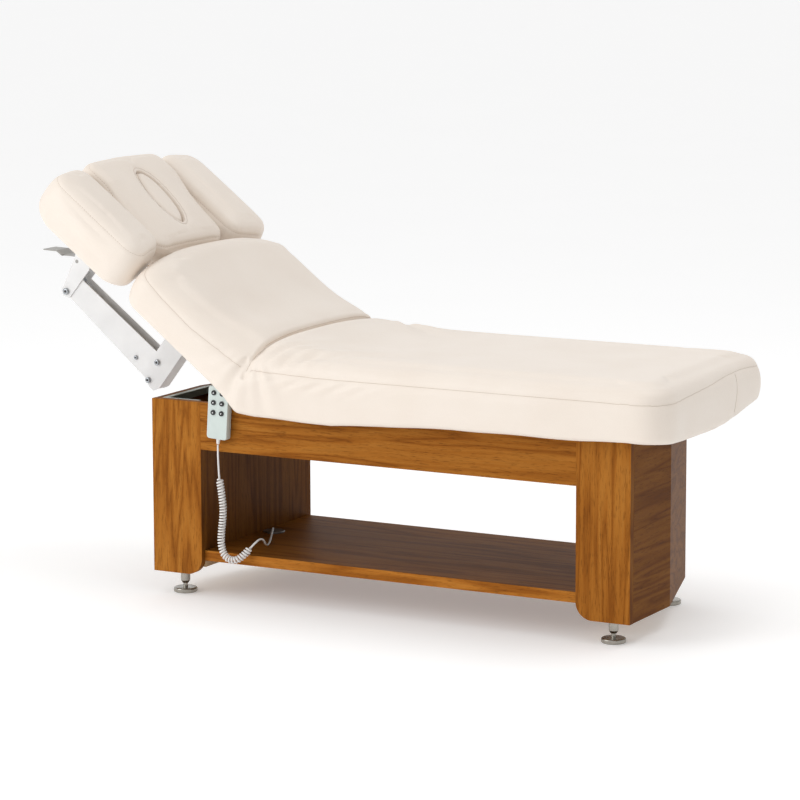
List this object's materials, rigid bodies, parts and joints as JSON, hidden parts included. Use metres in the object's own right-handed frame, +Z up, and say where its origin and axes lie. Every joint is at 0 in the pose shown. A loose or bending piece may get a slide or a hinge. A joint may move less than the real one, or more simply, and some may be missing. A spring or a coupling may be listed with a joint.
{
  "type": "facial treatment bed",
  "caption": "Powered facial treatment bed: wooden two-pedestal base with shelf, lifting padded top, raising back and legs, tilting headrest with a face hole, and a corded handset.",
  "frame": {"origin": "on the floor, below the middle of the bounding box of the whole bed at rest", "axes": "+X along the bed from the head to the foot, +Y from the near side (the handset side) to the far side, +Z up"},
  "size_m": [1.9888, 0.7, 1.1195],
  "materials": {
    "oak_veneer": "semi-gloss oak veneer, vertical grain on the pedestals",
    "plywood": "raw plywood",
    "cream_leather": "fine-grained cream imitation leather",
    "grey_steel": "grey-green painted angle",
    "white_steel": "white powder coat",
    "black_steel": "black painted steel",
    "chrome_bolt": "bright plated",
    "zinc": "zinc plated, satin",
    "black_plastic": "matt black housing",
    "glide_plastic": "pale slippery plastic",
    "handset_grey": "pale grey-green moulded handset",
    "button_black": "black push button with a white arrow",
    "cord_white": "pale flexible cord"
  },
  "bodies": {
    "base": {"column_outer_tubes": "black_steel", "cord_tail": "cord_white", "far_apron": "oak_veneer", "foot_pedestal_end_panel": "oak_veneer", "foot_pedestal_front_panel": "oak_veneer", "foot_pedestal_inner_panel": "oak_veneer", "foot_pedestal_rear_panel": "oak_veneer", "glide_collars": "glide_plastic", "head_pedestal_end_panel": "oak_veneer", "head_pedestal_front_panel": "oak_veneer", "head_pedestal_inner_panel": "oak_veneer", "head_pedestal_rear_panel": "oak_veneer", "near_apron": "oak_veneer", "pedestal_floors": "plywood", "rim_frames": "grey_steel", "shelf": "oak_veneer", "shelf_grommet": "zinc"},
    "lift": {"column_inner_tubes": "black_steel", "seat_frame": "black_steel", "hinge_pins": "black_steel", "seat_board": "plywood", "seat_cushion": "cream_leather", "handset_hook": "black_steel", "handset_back": "handset_grey", "handset_front": "handset_grey", "strain_relief": "cord_white", "back_actuator": "black_plastic", "leg_actuator": "black_plastic", "cord_top": "cord_white", "cord_coil": "cord_white"},
    "backrest": {"back_frame": "black_steel", "back_board": "plywood", "back_cushion": "cream_leather", "arm_bracket": "white_steel", "head_arm": "white_steel", "headrest_bolts": "chrome_bolt"},
    "headrest": {"head_bracket": "white_steel", "head_board": "plywood", "centre_head_cushion": "cream_leather", "near_head_cushion": "cream_leather", "far_head_cushion": "cream_leather"},
    "legrest": {"leg_frame": "black_steel", "leg_board": "plywood", "leg_cushion": "cream_leather"},
    "back_actuator_rod": {"back_actuator_rod": "black_steel"},
    "button_1": {"button_1": "button_black"},
    "button_2": {"button_2": "button_black"},
    "button_3": {"button_3": "button_black"},
    "button_4": {"button_4": "button_black"},
    "button_5": {"button_5": "button_black"},
    "button_6": {"button_6": "button_black"},
    "face_hole_plug": {"face_hole_plug": "cream_leather"},
    "gas_spring_cylinder": {"gas_spring_cylinder": "black_steel"},
    "gas_spring_rod": {"gas_spring_rod": "chrome_bolt"},
    "leg_actuator_rod": {"leg_actuator_rod": "black_steel"},
    "levelling_foot_foot_far": {"levelling_foot_foot_far": "zinc"},
    "levelling_foot_foot_near": {"levelling_foot_foot_near": "zinc"},
    "levelling_foot_head_far": {"levelling_foot_head_far": "zinc"},
    "levelling_foot_head_near": {"levelling_foot_head_near": "zinc"},
    "release_lever": {"release_lever": "white_steel"}
  },
  "joints": [
    {"name": "lift_column", "type": "slide", "parent": "base", "child": "lift", "axis": [0, 0, 1], "range_m": [0, 0.2]},
    {"name": "backrest_hinge", "type": "hinge", "parent": "lift", "child": "backrest", "pos_m": [-0.1916, 0, 0.54], "axis": [0, 1, 0], "range_deg": [-37.5, 27.5]},
    {"name": "legrest_hinge", "type": "hinge", "parent": "lift", "child": "legrest", "pos_m": [0.3044, 0, 0.54], "axis": [0, -1, 0], "range_deg": [0, 25]},
    {"name": "headrest_hinge", "type": "hinge", "parent": "backrest", "child": "headrest", "pos_m": [-0.9238, 0, 0.74386], "axis": [0, 1, 0], "range_deg": [-35, 0]},
    {"name": "gas_spring_pivot", "type": "hinge", "parent": "backrest", "child": "gas_spring_cylinder", "pos_m": [-0.70344, 0, 0.57603], "axis": [0, 1, 0], "range_deg": [-3.7, 0.1]},
    {"name": "gas_spring_stroke", "type": "slide", "parent": "gas_spring_cylinder", "child": "gas_spring_rod", "axis": [-0.6606, 0, 0.7507], "range_m": [-0.0005, 0.03]},
    {"name": "release_lever_hinge", "type": "hinge", "parent": "headrest", "child": "release_lever", "pos_m": [-0.88848, 0, 0.82768], "axis": [0, 1, 0], "range_deg": [0, 10], "stiffness_Nm_per_rad": 3, "springref_deg": -5.73},
    {"name": "face_plug_lift", "type": "slide", "parent": "headrest", "child": "face_hole_plug", "axis": [0.6088, 0, 0.7934], "range_m": [0, 0.06]},
    {"name": "back_actuator_stroke", "type": "slide", "parent": "lift", "child": "back_actuator_rod", "axis": [1, 0, 0], "range_m": [-0.0365, 0.0498]},
    {"name": "leg_actuator_stroke", "type": "slide", "parent": "lift", "child": "leg_actuator_rod", "axis": [1, 0, 0], "range_m": [0, 0.035]},
    {"name": "levelling_foot_head_near_turn", "type": "hinge", "parent": "base", "child": "levelling_foot_head_near", "pos_m": [-0.4196, -0.236, 0.04], "axis": [0, 0, 1], "continuous": true},
    {"name": "levelling_foot_head_far_turn", "type": "hinge", "parent": "base", "child": "levelling_foot_head_far", "pos_m": [-0.3616, 0.226, 0.04], "axis": [0, 0, 1], "continuous": true},
    {"name": "levelling_foot_foot_near_turn", "type": "hinge", "parent": "base", "child": "levelling_foot_foot_near", "pos_m": [0.8284, -0.236, 0.04], "axis": [0, 0, 1], "continuous": true},
    {"name": "levelling_foot_foot_far_turn", "type": "hinge", "parent": "base", "child": "levelling_foot_foot_far", "pos_m": [0.7704, 0.226, 0.04], "axis": [0, 0, 1], "continuous": true},
    {"name": "button_1_press", "type": "slide", "parent": "lift", "child": "button_1", "axis": [0, 1, 0], "range_m": [0, 0.001], "stiffness_N_per_m": 400, "springref_m": -0.0006},
    {"name": "button_2_press", "type": "slide", "parent": "lift", "child": "button_2", "axis": [0, 1, 0], "range_m": [0, 0.001], "stiffness_N_per_m": 400, "springref_m": -0.0006},
    {"name": "button_3_press", "type": "slide", "parent": "lift", "child": "button_3", "axis": [0, 1, 0], "range_m": [0, 0.001], "stiffness_N_per_m": 400, "springref_m": -0.0006},
    {"name": "button_4_press", "type": "slide", "parent": "lift", "child": "button_4", "axis": [0, 1, 0], "range_m": [0, 0.001], "stiffness_N_per_m": 400, "springref_m": -0.0006},
    {"name": "button_5_press", "type": "slide", "parent": "lift", "child": "button_5", "axis": [0, 1, 0], "range_m": [0, 0.001], "stiffness_N_per_m": 400, "springref_m": -0.0006},
    {"name": "button_6_press", "type": "slide", "parent": "lift", "child": "button_6", "axis": [0, 1, 0], "range_m": [0, 0.001], "stiffness_N_per_m": 400, "springref_m": -0.0006}
  ],
  "couplings": [
    {"joint": "gas_spring_pivot", "follows": "headrest_hinge", "ratio": 0.1037},
    {"joint": "gas_spring_stroke", "follows": "headrest_hinge", "m_per_rad": -0.047},
    {"joint": "back_actuator_stroke", "follows": "backrest_hinge", "m_per_rad": -0.0757},
    {"joint": "leg_actuator_stroke", "follows": "legrest_hinge", "m_per_rad": 0.0794}
  ]
}
